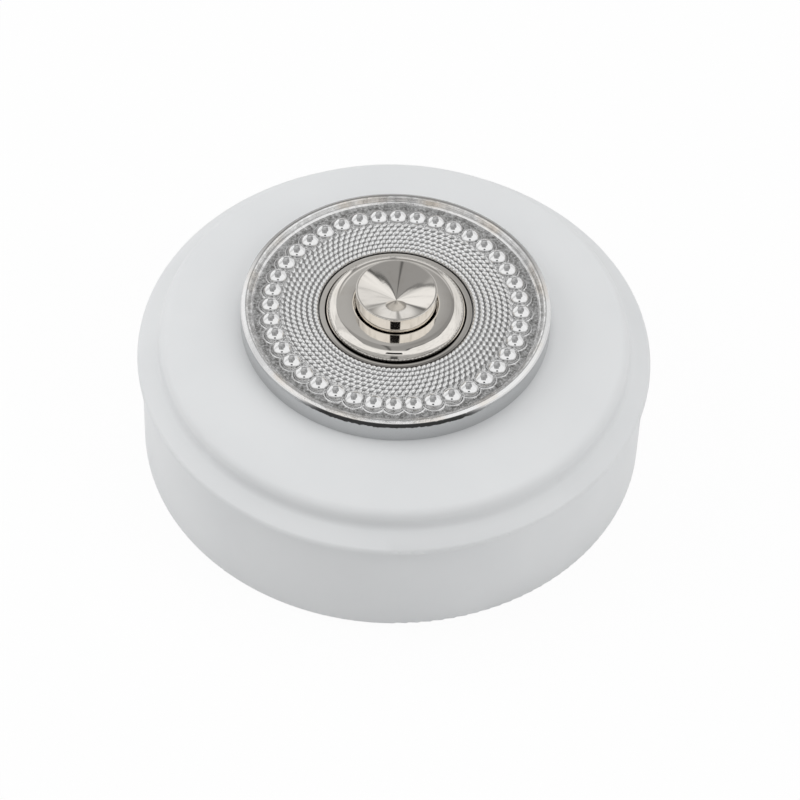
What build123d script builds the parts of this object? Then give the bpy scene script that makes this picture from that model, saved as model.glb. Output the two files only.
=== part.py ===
"""Round porcelain doorbell push with a beaded chrome rosette and a sprung nickel push button.

The push lies on its back: the wall face is at z = 0, the button's axis is +Z through the origin, and
the cable entry is on the +Y side. Lengths are in millimetres.
"""

import os
from math import pi, sin, sqrt

from build123d import *

# Porcelain base and lid
OVERALL_DIAMETER = 80.0
DRUM_HEIGHT = 18.1
DRUM_WALL = 4.0
DRUM_FLOOR = 3.2
LID_RISE = 7.5
LID_OVERHANG = 0.7
LID_PLATE = 4.0
LID_SEAT_MARGIN = 0.5
LID_SEAT_ROUND = 8.0
LID_TOP_FALL = 2.35
LID_SHOULDER_HEIGHT = 2.6
LID_SHOULDER_WIDTH = 3.4
LID_LIP_HEIGHT = 0.8
LID_LIP_ROUND = 0.9
LID_TOP_ROUND = 1.9
LID_COVE_ROUND = 1.25
LID_LOWER_EDGE_ROUND = 0.2
DRUM_EDGE_ROUND = 0.6

# Bayonet between base and lid
BAYONET_COUNT = 3
BAYONET_DEPTH = 1.8
BAYONET_HEIGHT = 2.0
BAYONET_BELOW_EDGE = 2.5
LEDGE_ARC = 50.0
LUG_ARC = 40.0
SPIGOT_WALL = 2.8

# Wall fixings and cable entry
FIXING_SPACING = 50.0
FIXING_HOLE_DIAMETER = 4.5
FIXING_HEAD_DIAMETER = 9.0
FIXING_BOSS_DIAMETER = 13.0
FIXING_BOSS_HEIGHT = 1.8
CABLE_DIAMETER = 6.0
CABLE_OFFSET = 21.0
GROMMET_WALL = 2.9
GROMMET_FLANGE = 1.8
GROMMET_LIP = 1.4

# Rosette
ROSETTE_DIAMETER = 47.8
ROSETTE_RISE = 3.9
ROSETTE_RIM_WIDTH = 1.15
ROSETTE_RIM_CROWN = 0.15
ROSETTE_RIM_ROUND = 0.25
ROSETTE_FLOOR_DROP = 1.3
ROSETTE_STEP_DROP = 0.7
ROSETTE_STEP_WIDTH = 0.75
ROSETTE_LIP = 1.3
BEAD_COUNT = 40
BEAD_CIRCLE_DIAMETER = 38.8
BEAD_FILL = 0.985
BEAD_SINK = 0.25
BAND_DIAMETER = 34.8
BAND_RISE = 0.45
HEAD_HOLE_DIAMETER = 23.9
GASKET_THICKNESS = 0.8
GASKET_WIDTH = 7.6

# Switch head, barrel and nut
FLANGE_THICKNESS = 1.4
HEAD_DIAMETER = 21.6
HEAD_ABOVE_RIM = 0.6
HEAD_SHOULDER_WIDTH = 1.45
HEAD_SHOULDER_FALL = 1.05
HEAD_SHOULDER_ROUND = 4.2
HEAD_EDGE_ROUND = 0.3
BARREL_DIAMETER = 18.8
CHAMBER_DIAMETER = 14.8
WEB_THICKNESS = 1.5
WEB_BELOW_PLATE = 0.2
SEAL_THICKNESS = 0.6
SEAL_WIDTH = 1.0
WASHER_THICKNESS = 0.8
WASHER_WIDTH = 2.6
WASHER_TEETH = 12
NUT_ACROSS_FLATS = 24.0
NUT_THICKNESS = 3.0

# Push button
BUTTON_DIAMETER = 12.5
BUTTON_PROUD = 2.8
BUTTON_TRAVEL = 1.5
DISH_DEPTH = 2.9
DISH_BULGE = 0.42
DISH_BULGE_ROUND = 16.0
DISH_LAND = 0.35
CAP_CROWN = 2.4
CAP_SKIRT_WALL = 1.2
CAP_SKIRT_DEPTH = 1.6
STEM_DIAMETER = 4.0
STEM_SOCKET_DEPTH = 1.1
CLIP_DIAMETER = 7.2
CLIP_THICKNESS = 0.6
CLIP_GROOVE_DEPTH = 0.6
SPRING_DIAMETER = 7.2
SPRING_WIRE = 0.7
SPRING_TURNS = 4

# Contacts and terminals
CONTACT_OFFSET = 4.2
CONTACT_DIAMETER = 3.6
CONTACT_THICKNESS = 0.8
BRIDGE_WIDTH = 3.2
BRIDGE_THICKNESS = 0.5
BRIDGE_STUD_DIAMETER = 2.4
BRIDGE_STUD_HEIGHT = 0.5
BRIDGE_SCREW_DIAMETER = 1.8
BRIDGE_SCREW_LENGTH = 3.0
BRIDGE_HEAD_DIAMETER = 3.2
BRIDGE_HEAD_HEIGHT = 0.9
PLUG_FLANGE = 1.4
PLUG_SPIGOT = 2.0
PLUG_EDGE_ROUND = 0.3
BARRIER_THICKNESS = 1.2
BARRIER_HEIGHT = 2.6
POST_DIAMETER = 2.4
PAD_LENGTH = 5.6
PAD_WIDTH = 4.6
PAD_THICKNESS = 0.8
CLAMP_THICKNESS = 0.8
TERMINAL_SCREW_DIAMETER = 1.6
TERMINAL_SCREW_LENGTH = 3.4
TERMINAL_HEAD_DIAMETER = 4.0
TERMINAL_HEAD_HEIGHT = 1.3
SCREW_SLOT = 0.5

# Clearances
LOOSE_FIT = 0.3
THREAD_FIT = 0.1
RUNNING_FIT = 0.08
BUTTON_GAP = 0.2
CONTACT_GAP = 0.02
STOP_GAP = 0.1
WIRE_SPACE = 1.4
BACK_RELIEF = 0.1

# Radii and levels that follow
OUTER_R = OVERALL_DIAMETER / 2
DRUM_R = OUTER_R - LID_OVERHANG
CAVITY_R = DRUM_R - DRUM_WALL
LID_WALL_R = OUTER_R - LID_SHOULDER_WIDTH
SPIGOT_R = CAVITY_R - BAYONET_DEPTH - LOOSE_FIT
LEDGE_TOP_Z = DRUM_HEIGHT - BAYONET_BELOW_EDGE
LEDGE_BOTTOM_Z = LEDGE_TOP_Z - BAYONET_HEIGHT
SPIGOT_BOTTOM_Z = LEDGE_BOTTOM_Z - BAYONET_HEIGHT
LID_TOP_Z = DRUM_HEIGHT + LID_RISE
PLATE_BOTTOM_Z = LID_TOP_Z - LID_PLATE

BARREL_R = BARREL_DIAMETER / 2
BARREL_HOLE_R = BARREL_R + LOOSE_FIT
CHAMBER_R = CHAMBER_DIAMETER / 2
HEAD_HOLE_R = HEAD_HOLE_DIAMETER / 2
FLANGE_R = HEAD_HOLE_R - LOOSE_FIT
ROSETTE_R = ROSETTE_DIAMETER / 2
ROSETTE_TOP_Z = LID_TOP_Z + ROSETTE_RISE
ROSETTE_FLOOR_Z = ROSETTE_TOP_Z - ROSETTE_FLOOR_DROP
BAND_R = BAND_DIAMETER / 2
BEAD_CIRCLE_R = BEAD_CIRCLE_DIAMETER / 2
BEAD_R = BEAD_FILL * BEAD_CIRCLE_R * sin(pi / BEAD_COUNT)
SEAT_Z = LID_TOP_Z + ROSETTE_LIP
FLANGE_TOP_Z = SEAT_Z + FLANGE_THICKNESS
HEAD_FACE_Z = ROSETTE_TOP_Z + HEAD_ABOVE_RIM

BUTTON_R = BUTTON_DIAMETER / 2
BUTTON_BORE_R = BUTTON_R + BUTTON_GAP
STEM_R = STEM_DIAMETER / 2
CAP_TOP_Z = HEAD_FACE_Z + BUTTON_PROUD
CAP_CEILING_Z = CAP_TOP_Z - DISH_DEPTH - CAP_CROWN
CAP_BOTTOM_Z = CAP_CEILING_Z - CAP_SKIRT_DEPTH
CAP_RECESS_R = BUTTON_R - CAP_SKIRT_WALL
STOP_Z = CAP_BOTTOM_Z - BUTTON_TRAVEL - STOP_GAP
WEB_TOP_Z = PLATE_BOTTOM_Z - WEB_BELOW_PLATE
WEB_BOTTOM_Z = WEB_TOP_Z - WEB_THICKNESS
CLIP_GROOVE_R = STEM_R - CLIP_GROOVE_DEPTH
CLIP_BOTTOM_Z = WEB_BOTTOM_Z - CLIP_THICKNESS

TERMINAL_HEAD_Z = DRUM_FLOOR + WIRE_SPACE
CLAMP_Z = TERMINAL_HEAD_Z + TERMINAL_HEAD_HEIGHT
PAD_Z = CLAMP_Z + CLAMP_THICKNESS
PLUG_Z = PAD_Z + PAD_THICKNESS
BARREL_BOTTOM_Z = PLUG_Z + PLUG_FLANGE
PLUG_TOP_Z = BARREL_BOTTOM_Z + PLUG_SPIGOT
CONTACT_TOP_Z = PLUG_TOP_Z + CONTACT_THICKNESS
BRIDGE_STUD_Z = CONTACT_TOP_Z + BUTTON_TRAVEL + CONTACT_GAP
BRIDGE_Z = BRIDGE_STUD_Z + BRIDGE_STUD_HEIGHT
STEM_BOTTOM_Z = BRIDGE_Z + BRIDGE_THICKNESS
SIDES = (-1, 1)


def turned(corners):
    """Solid of revolution about Z from (radius, z, corner rounding) rows, in order round the section."""
    points = [(radius, z) for radius, z, _ in corners]
    roundings = [rounding for _, _, rounding in corners]
    outline = FilletPolyline(*points, radius=roundings, close=True)
    return revolve(Plane.XZ * make_face(outline), Axis.Z)


def ring(inner_r, outer_r, bottom_z, top_z):
    """Plain ring about Z, or a disc where the inner radius is 0."""
    corners = [(inner_r, bottom_z, 0), (outer_r, bottom_z, 0), (outer_r, top_z, 0), (inner_r, top_z, 0)]
    return turned(corners)


def sector(inner_r, outer_r, bottom_z, top_z, arc, middle):
    """Part of a ring: arc degrees wide, centred on the middle angle."""
    corners = [(inner_r, bottom_z), (outer_r, bottom_z), (outer_r, top_z), (inner_r, top_z)]
    section = Plane.XZ * make_face(Polyline(*corners, close=True))
    return Rot(0, 0, middle - arc / 2) * revolve(section, Axis.Z, arc)


def bayonet_angles():
    """Middle angles of the ledges and of the lugs that lie under them."""
    return [turn * 360 / BAYONET_COUNT for turn in range(BAYONET_COUNT)]


def make_base_drum():
    """Cup that is screwed to the wall, with countersunk bosses, cable entry and bayonet ledges."""
    drum = turned([
        (0, 0, 0),
        (DRUM_R, 0, DRUM_EDGE_ROUND),
        (DRUM_R, DRUM_HEIGHT, DRUM_EDGE_ROUND / 2),
        (CAVITY_R, DRUM_HEIGHT, 0),
        (CAVITY_R, DRUM_FLOOR, 0),
        (0, DRUM_FLOOR, 0),
    ])
    for middle in bayonet_angles():
        drum += sector(CAVITY_R - BAYONET_DEPTH, CAVITY_R + DRUM_WALL / 2,
                       LEDGE_BOTTOM_Z, LEDGE_TOP_Z, LEDGE_ARC, middle)
    boss_top = DRUM_FLOOR + FIXING_BOSS_HEIGHT
    head_r = FIXING_HEAD_DIAMETER / 2
    hole_r = FIXING_HOLE_DIAMETER / 2
    sink_bottom = boss_top - (head_r - hole_r)
    screw_space = turned([
        (0, 0, 0),
        (hole_r, 0, 0),
        (hole_r, sink_bottom, 0),
        (head_r, boss_top, 0),
        (0, boss_top, 0),
    ])
    for side in SIDES:
        place = Pos(side * FIXING_SPACING / 2, 0, 0)
        drum += place * ring(0, FIXING_BOSS_DIAMETER / 2, DRUM_FLOOR / 2, boss_top)
        drum -= place * screw_space
    cable_hole_r = CABLE_DIAMETER / 2 + GROMMET_WALL + THREAD_FIT
    recess_r = cable_hole_r + GROMMET_FLANGE + LOOSE_FIT
    entry = ring(0, cable_hole_r, 0, DRUM_FLOOR) + ring(0, recess_r, 0, GROMMET_LIP)
    return drum - Pos(0, CABLE_OFFSET, 0) * entry


def make_cable_grommet():
    """Rubber bush with a flange on each side of the base's floor."""
    bore_r = CABLE_DIAMETER / 2
    neck_r = bore_r + GROMMET_WALL
    flange_r = neck_r + GROMMET_FLANGE
    top = DRUM_FLOOR + GROMMET_LIP
    edge = GROMMET_LIP / 3
    bush = turned([
        (bore_r, BACK_RELIEF, 0),
        (flange_r, BACK_RELIEF, 0),
        (flange_r, GROMMET_LIP, 0),
        (neck_r, GROMMET_LIP, 0),
        (neck_r, DRUM_FLOOR, 0),
        (flange_r, DRUM_FLOOR, 0),
        (flange_r, top, edge),
        (bore_r, top, edge),
    ])
    return Pos(0, CABLE_OFFSET, 0) * bush


def make_lid():
    """Cover with a coned top, cove and lip outside, and a bayonet spigot inside."""
    inside_r = SPIGOT_R - SPIGOT_WALL
    seat_r = ROSETTE_R + LID_SEAT_MARGIN
    edge_z = LID_TOP_Z - LID_TOP_FALL
    cove_z = DRUM_HEIGHT + LID_SHOULDER_HEIGHT
    top_round = min(LID_TOP_ROUND, 0.75 * (edge_z - cove_z))
    cove_round = min(LID_COVE_ROUND, 0.5 * (edge_z - cove_z))
    lid = turned([
        (BARREL_HOLE_R, LID_TOP_Z, 0),
        (seat_r, LID_TOP_Z, LID_SEAT_ROUND),
        (LID_WALL_R, edge_z, top_round),
        (LID_WALL_R, cove_z, cove_round),
        (OUTER_R, DRUM_HEIGHT + LID_LIP_HEIGHT, LID_LIP_ROUND),
        (OUTER_R, DRUM_HEIGHT, LID_LOWER_EDGE_ROUND),
        (SPIGOT_R, DRUM_HEIGHT, 0),
        (SPIGOT_R, SPIGOT_BOTTOM_Z, 0),
        (inside_r, SPIGOT_BOTTOM_Z, 0),
        (inside_r, PLATE_BOTTOM_Z, 0),
        (BARREL_HOLE_R, PLATE_BOTTOM_Z, 0),
    ])
    for middle in bayonet_angles():
        lid += sector(SPIGOT_R - SPIGOT_WALL / 2, CAVITY_R - LOOSE_FIT,
                      SPIGOT_BOTTOM_Z, LEDGE_BOTTOM_Z, LUG_ARC, middle)
    return lid


def make_rosette():
    """Cast disc with an arched rim, a stepped inner edge, a ring of beads and a band round the hole."""
    rim_inner_r = ROSETTE_R - ROSETTE_RIM_WIDTH
    rim_edge_z = ROSETTE_TOP_Z - ROSETTE_RIM_CROWN
    step_z = ROSETTE_TOP_Z - ROSETTE_STEP_DROP
    step_r = rim_inner_r - ROSETTE_STEP_WIDTH
    band_z = ROSETTE_FLOOR_Z + BAND_RISE
    gasket_outer_r = HEAD_HOLE_R + GASKET_WIDTH + 2 * LOOSE_FIT
    gasket_z = LID_TOP_Z + GASKET_THICKNESS
    disc = turned([
        (ROSETTE_R, LID_TOP_Z, 0),
        (ROSETTE_R, rim_edge_z, ROSETTE_RIM_ROUND),
        (ROSETTE_R - ROSETTE_RIM_WIDTH / 2, ROSETTE_TOP_Z, ROSETTE_RIM_WIDTH),
        (rim_inner_r, rim_edge_z, ROSETTE_RIM_ROUND),
        (rim_inner_r, step_z, 0),
        (step_r, step_z, 0),
        (step_r, ROSETTE_FLOOR_Z, 0),
        (BAND_R, ROSETTE_FLOOR_Z, 0),
        (BAND_R, band_z, 0),
        (HEAD_HOLE_R, band_z, 0),
        (HEAD_HOLE_R, SEAT_Z, 0),
        (BARREL_HOLE_R, SEAT_Z, 0),
        (BARREL_HOLE_R, LID_TOP_Z, 0),
        (HEAD_HOLE_R, LID_TOP_Z, 0),
        (HEAD_HOLE_R, gasket_z, 0),
        (gasket_outer_r, gasket_z, 0),
        (gasket_outer_r, LID_TOP_Z, 0),
    ])
    bead = Pos(BEAD_CIRCLE_R, 0, ROSETTE_FLOOR_Z - BEAD_SINK) * Sphere(BEAD_R)
    bead &= ring(step_r - 4 * BEAD_R, step_r, ROSETTE_FLOOR_Z - BEAD_SINK, ROSETTE_TOP_Z + BEAD_R)
    beads = [Rot(0, 0, turn * 360 / BEAD_COUNT) * bead for turn in range(BEAD_COUNT)]
    return disc.fuse(*[solid for bead in beads for solid in bead.solids()])


def make_rosette_gasket():
    """Soft ring in the recess of the rosette's underside."""
    inner_r = HEAD_HOLE_R + LOOSE_FIT
    return ring(inner_r, inner_r + GASKET_WIDTH, LID_TOP_Z, LID_TOP_Z + GASKET_THICKNESS)


def make_bezel_barrel():
    """Switch head with flange, domed shoulder and flat face, in one piece with the barrel below."""
    head_r = HEAD_DIAMETER / 2
    seal_outer_r = BARREL_R + SEAL_WIDTH + THREAD_FIT
    return turned([
        (FLANGE_R, SEAT_Z, 0),
        (FLANGE_R, FLANGE_TOP_Z, HEAD_EDGE_ROUND),
        (head_r, FLANGE_TOP_Z, 0),
        (head_r, HEAD_FACE_Z - HEAD_SHOULDER_FALL, HEAD_EDGE_ROUND),
        (head_r - HEAD_SHOULDER_WIDTH, HEAD_FACE_Z, HEAD_SHOULDER_ROUND),
        (BUTTON_BORE_R, HEAD_FACE_Z, 0),
        (BUTTON_BORE_R, STOP_Z, 0),
        (CAP_RECESS_R + LOOSE_FIT, STOP_Z, 0),
        (CAP_RECESS_R + LOOSE_FIT, WEB_TOP_Z, 0),
        (STEM_R + RUNNING_FIT, WEB_TOP_Z, 0),
        (STEM_R + RUNNING_FIT, WEB_BOTTOM_Z, 0),
        (CHAMBER_R, WEB_BOTTOM_Z, 0),
        (CHAMBER_R, BARREL_BOTTOM_Z, 0),
        (BARREL_R, BARREL_BOTTOM_Z, HEAD_EDGE_ROUND),
        (BARREL_R, SEAT_Z + SEAL_THICKNESS, 0),
        (seal_outer_r, SEAT_Z + SEAL_THICKNESS, 0),
        (seal_outer_r, SEAT_Z, 0),
    ])


def make_seal_ring():
    """Rubber ring in the recess under the head's flange."""
    inner_r = BARREL_R + THREAD_FIT / 2
    return ring(inner_r, inner_r + SEAL_WIDTH, SEAT_Z, SEAT_Z + SEAL_THICKNESS)


def make_lock_washer():
    """Washer with outer teeth between the lid and the nut."""
    inner_r = BARREL_R + THREAD_FIT
    outer_r = inner_r + WASHER_WIDTH
    bottom = PLATE_BOTTOM_Z - WASHER_THICKNESS
    washer = ring(inner_r, outer_r, bottom, PLATE_BOTTOM_Z)
    pitch = 360 / WASHER_TEETH
    for tooth in range(WASHER_TEETH):
        washer -= sector(outer_r - WASHER_WIDTH / 2, outer_r + WASHER_WIDTH,
                         bottom, PLATE_BOTTOM_Z, pitch / 3, tooth * pitch)
    return washer


def make_hex_nut():
    """Chamfered hexagon nut on the barrel."""
    top = PLATE_BOTTOM_Z - WASHER_THICKNESS
    bottom = top - NUT_THICKNESS
    hexagon = extrude(Pos(0, 0, bottom) * RegularPolygon(NUT_ACROSS_FLATS / 2, 6, major_radius=False), NUT_THICKNESS)
    corner_r = NUT_ACROSS_FLATS / sqrt(3)
    flat_r = NUT_ACROSS_FLATS / 2
    drop = (corner_r - flat_r) * 0.6
    chamfer_body = turned([
        (BARREL_R + THREAD_FIT, bottom, 0),
        (flat_r, bottom, 0),
        (corner_r, bottom + drop, 0),
        (corner_r, top - drop, 0),
        (flat_r, top, 0),
        (BARREL_R + THREAD_FIT, top, 0),
    ])
    return hexagon & chamfer_body


def make_push_cap():
    """Push button with a funnel-shaped dish, hollow below for the spring and bored for the plunger."""
    edge = DISH_LAND * 0.4
    dish_r = BUTTON_R - DISH_LAND
    return turned([
        (0, CAP_TOP_Z - DISH_DEPTH, 0),
        (dish_r / 2, CAP_TOP_Z - DISH_DEPTH / 2 + DISH_BULGE, DISH_BULGE_ROUND),
        (dish_r, CAP_TOP_Z, edge),
        (BUTTON_R, CAP_TOP_Z, edge),
        (BUTTON_R, CAP_BOTTOM_Z, 0),
        (CAP_RECESS_R, CAP_BOTTOM_Z, 0),
        (CAP_RECESS_R, CAP_CEILING_Z, 0),
        (STEM_R, CAP_CEILING_Z, 0),
        (STEM_R, CAP_CEILING_Z + STEM_SOCKET_DEPTH, 0),
        (0, CAP_CEILING_Z + STEM_SOCKET_DEPTH, 0),
    ])


def make_plunger():
    """Stem between cap and contact bridge, grooved for the clip and bored for the bridge's screw."""
    screw_r = BRIDGE_SCREW_DIAMETER / 2
    screw_top = STEM_BOTTOM_Z - BRIDGE_THICKNESS + BRIDGE_SCREW_LENGTH
    return turned([
        (0, CAP_CEILING_Z + STEM_SOCKET_DEPTH, 0),
        (STEM_R, CAP_CEILING_Z + STEM_SOCKET_DEPTH, 0),
        (STEM_R, WEB_BOTTOM_Z, 0),
        (CLIP_GROOVE_R, WEB_BOTTOM_Z, 0),
        (CLIP_GROOVE_R, CLIP_BOTTOM_Z, 0),
        (STEM_R, CLIP_BOTTOM_Z, 0),
        (STEM_R, STEM_BOTTOM_Z, 0),
        (screw_r, STEM_BOTTOM_Z, 0),
        (screw_r, screw_top, 0),
        (0, screw_top, 0),
    ])


def make_retaining_clip():
    """Open ring in the plunger's groove, against the web's underside at rest."""
    clip = ring(CLIP_GROOVE_R, CLIP_DIAMETER / 2, CLIP_BOTTOM_Z, WEB_BOTTOM_Z)
    mouth = Box(CLIP_DIAMETER, 2 * CLIP_GROOVE_R, CLIP_THICKNESS, align=(Align.MIN, Align.CENTER, Align.MIN))
    return clip - Pos(0, 0, CLIP_BOTTOM_Z) * mouth


def make_return_spring():
    """Coil spring between the barrel's web and the cap's ceiling."""
    wire_r = SPRING_WIRE / 2
    coil_r = SPRING_DIAMETER / 2
    height = CAP_CEILING_Z - WEB_TOP_Z - SPRING_WIRE
    path = Pos(0, 0, WEB_TOP_Z + wire_r) * Helix(height / SPRING_TURNS, height, coil_r)
    wire = Plane(path @ 0, z_dir=path % 0) * Circle(wire_r)
    return sweep(wire, path)


def make_contact_bridge():
    """Round-ended strip with a contact stud under each end and a hole for its screw."""
    screw_hole = Circle(BRIDGE_SCREW_DIAMETER / 2)
    strip = SlotCenterToCenter(2 * CONTACT_OFFSET, BRIDGE_WIDTH) - screw_hole
    bridge = extrude(Pos(0, 0, BRIDGE_Z) * strip, BRIDGE_THICKNESS)
    for side in SIDES:
        stud = ring(0, BRIDGE_STUD_DIAMETER / 2, BRIDGE_STUD_Z, BRIDGE_Z)
        bridge += Pos(side * CONTACT_OFFSET, 0, 0) * stud
    return bridge


def slotted_screw(head_r, head_height, shank_r, length):
    """Screw that points up from z = 0, where its head's seat is, with a slot in the head's lower face."""
    screw = turned([
        (0, -head_height, 0),
        (head_r, -head_height, head_height / 4),
        (head_r, 0, 0),
        (shank_r, 0, 0),
        (shank_r, length, 0),
        (0, length, 0),
    ])
    slot = Box(3 * head_r, SCREW_SLOT, head_height / 2, align=(Align.CENTER, Align.CENTER, Align.MIN))
    return screw - Pos(0, 0, -head_height) * slot


def make_bridge_screw():
    """Screw that holds the contact bridge to the plunger."""
    screw = slotted_screw(BRIDGE_HEAD_DIAMETER / 2, BRIDGE_HEAD_HEIGHT,
                          BRIDGE_SCREW_DIAMETER / 2, BRIDGE_SCREW_LENGTH)
    return Pos(0, 0, BRIDGE_Z) * screw


def make_switch_base():
    """Insulating plug in the barrel's mouth, with a barrier between the two terminals."""
    plug = turned([
        (0, PLUG_Z, 0),
        (BARREL_R, PLUG_Z, PLUG_EDGE_ROUND),
        (BARREL_R, BARREL_BOTTOM_Z, 0),
        (CHAMBER_R, BARREL_BOTTOM_Z, 0),
        (CHAMBER_R, PLUG_TOP_Z, PLUG_EDGE_ROUND),
        (0, PLUG_TOP_Z, 0),
    ])
    barrier = Box(BARRIER_THICKNESS, BARREL_DIAMETER - PAD_WIDTH, BARRIER_HEIGHT,
                  align=(Align.CENTER, Align.CENTER, Align.MAX))
    plug += Pos(0, 0, PLUG_Z) * barrier
    for side in SIDES:
        plug -= Pos(side * CONTACT_OFFSET, 0, 0) * ring(0, POST_DIAMETER / 2, PLUG_Z, PLUG_TOP_Z)
    return plug


def make_terminal(side):
    """Fixed contact on one side: round contact head, post through the plug and pad below it."""
    terminal = turned([
        (0, PAD_Z, 0),
        (POST_DIAMETER / 2, PAD_Z, 0),
        (POST_DIAMETER / 2, PLUG_TOP_Z, 0),
        (CONTACT_DIAMETER / 2, PLUG_TOP_Z, 0),
        (CONTACT_DIAMETER / 2, CONTACT_TOP_Z, 0),
        (0, CONTACT_TOP_Z, 0),
    ])
    terminal += extrude(Pos(0, 0, PAD_Z) * Rectangle(PAD_WIDTH, PAD_LENGTH), PAD_THICKNESS)
    terminal -= ring(0, TERMINAL_SCREW_DIAMETER / 2, PAD_Z, CLAMP_Z + TERMINAL_SCREW_LENGTH)
    return Pos(side * CONTACT_OFFSET, 0, 0) * terminal


def make_terminal_clamps():
    """Square plates that press the wires against the terminals' pads."""
    plate = Rectangle(PAD_WIDTH, PAD_WIDTH) - Circle(TERMINAL_SCREW_DIAMETER / 2 + THREAD_FIT)
    clamp = extrude(Pos(0, 0, CLAMP_Z) * plate, CLAMP_THICKNESS)
    return [Pos(side * CONTACT_OFFSET, 0, 0) * clamp for side in SIDES]


def make_terminal_screws():
    """Slotted screws that hold the clamps."""
    screw = slotted_screw(TERMINAL_HEAD_DIAMETER / 2, TERMINAL_HEAD_HEIGHT,
                          TERMINAL_SCREW_DIAMETER / 2, TERMINAL_SCREW_LENGTH)
    return [Pos(side * CONTACT_OFFSET, 0, CLAMP_Z) * screw for side in SIDES]


def make_nodes():
    """Every piece by its name."""
    return {
        "base_drum": make_base_drum(),
        "lid": make_lid(),
        "rosette": make_rosette(),
        "rosette_gasket": make_rosette_gasket(),
        "bezel_barrel": make_bezel_barrel(),
        "seal_ring": make_seal_ring(),
        "lock_washer": make_lock_washer(),
        "hex_nut": make_hex_nut(),
        "push_cap": make_push_cap(),
        "plunger": make_plunger(),
        "retaining_clip": make_retaining_clip(),
        "return_spring": make_return_spring(),
        "contact_bridge": make_contact_bridge(),
        "bridge_screw": make_bridge_screw(),
        "switch_base": make_switch_base(),
        "terminal_left": make_terminal(-1),
        "terminal_right": make_terminal(1),
        "terminal_clamps": make_terminal_clamps(),
        "terminal_screws": make_terminal_screws(),
        "cable_grommet": make_cable_grommet(),
    }


def solids_of(piece):
    """Solids of one piece, or of a list of like pieces."""
    pieces = piece if isinstance(piece, list) else [piece]
    return [solid for item in pieces for solid in item.solids()]


def main():
    """Write each piece to its own STEP file."""
    os.makedirs("parts", exist_ok=True)
    for name, piece in make_nodes().items():
        solids = solids_of(piece)
        whole = solids[0] if len(solids) == 1 else Compound(children=solids)
        whole.label = name
        export_step(whole, f"parts/{name}.step")


main()
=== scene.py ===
"""Wall doorbell push: white porcelain base and lid, beaded chrome rosette, turned nickel head and button."""

import logging
import math
from dataclasses import dataclass
from enum import Enum
from typing import Any, Mapping, Optional, Sequence, Union

import bpy
import numpy as np
from mathutils import Matrix, Vector


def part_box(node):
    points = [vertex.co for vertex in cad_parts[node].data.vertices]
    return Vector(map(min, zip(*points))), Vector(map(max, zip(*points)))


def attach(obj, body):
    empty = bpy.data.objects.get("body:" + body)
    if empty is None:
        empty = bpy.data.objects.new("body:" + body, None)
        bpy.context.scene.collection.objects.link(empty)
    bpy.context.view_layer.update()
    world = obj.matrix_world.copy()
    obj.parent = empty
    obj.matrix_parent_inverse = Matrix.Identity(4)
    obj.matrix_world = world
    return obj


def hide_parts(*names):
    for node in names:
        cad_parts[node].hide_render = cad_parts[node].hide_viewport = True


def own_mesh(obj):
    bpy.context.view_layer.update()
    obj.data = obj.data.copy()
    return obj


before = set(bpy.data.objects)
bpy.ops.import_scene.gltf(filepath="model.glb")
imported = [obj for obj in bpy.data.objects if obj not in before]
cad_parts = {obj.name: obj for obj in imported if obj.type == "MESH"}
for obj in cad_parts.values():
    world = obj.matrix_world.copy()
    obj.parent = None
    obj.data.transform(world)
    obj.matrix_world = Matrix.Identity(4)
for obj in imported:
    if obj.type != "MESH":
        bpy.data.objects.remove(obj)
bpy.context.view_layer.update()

MM = 0.001
FULL_TURN = 2 * math.pi
SAME_PLACE = 1e-6
SHARP_TURN = 30.0
LOG = logging.getLogger("doorbell_push")

Colour = tuple[float, float, float]
Corner = tuple[float, float, float]
Fade = tuple[float, float]
Operand = Union["Value", float]
Numbers = Union[np.ndarray, float]


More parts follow.
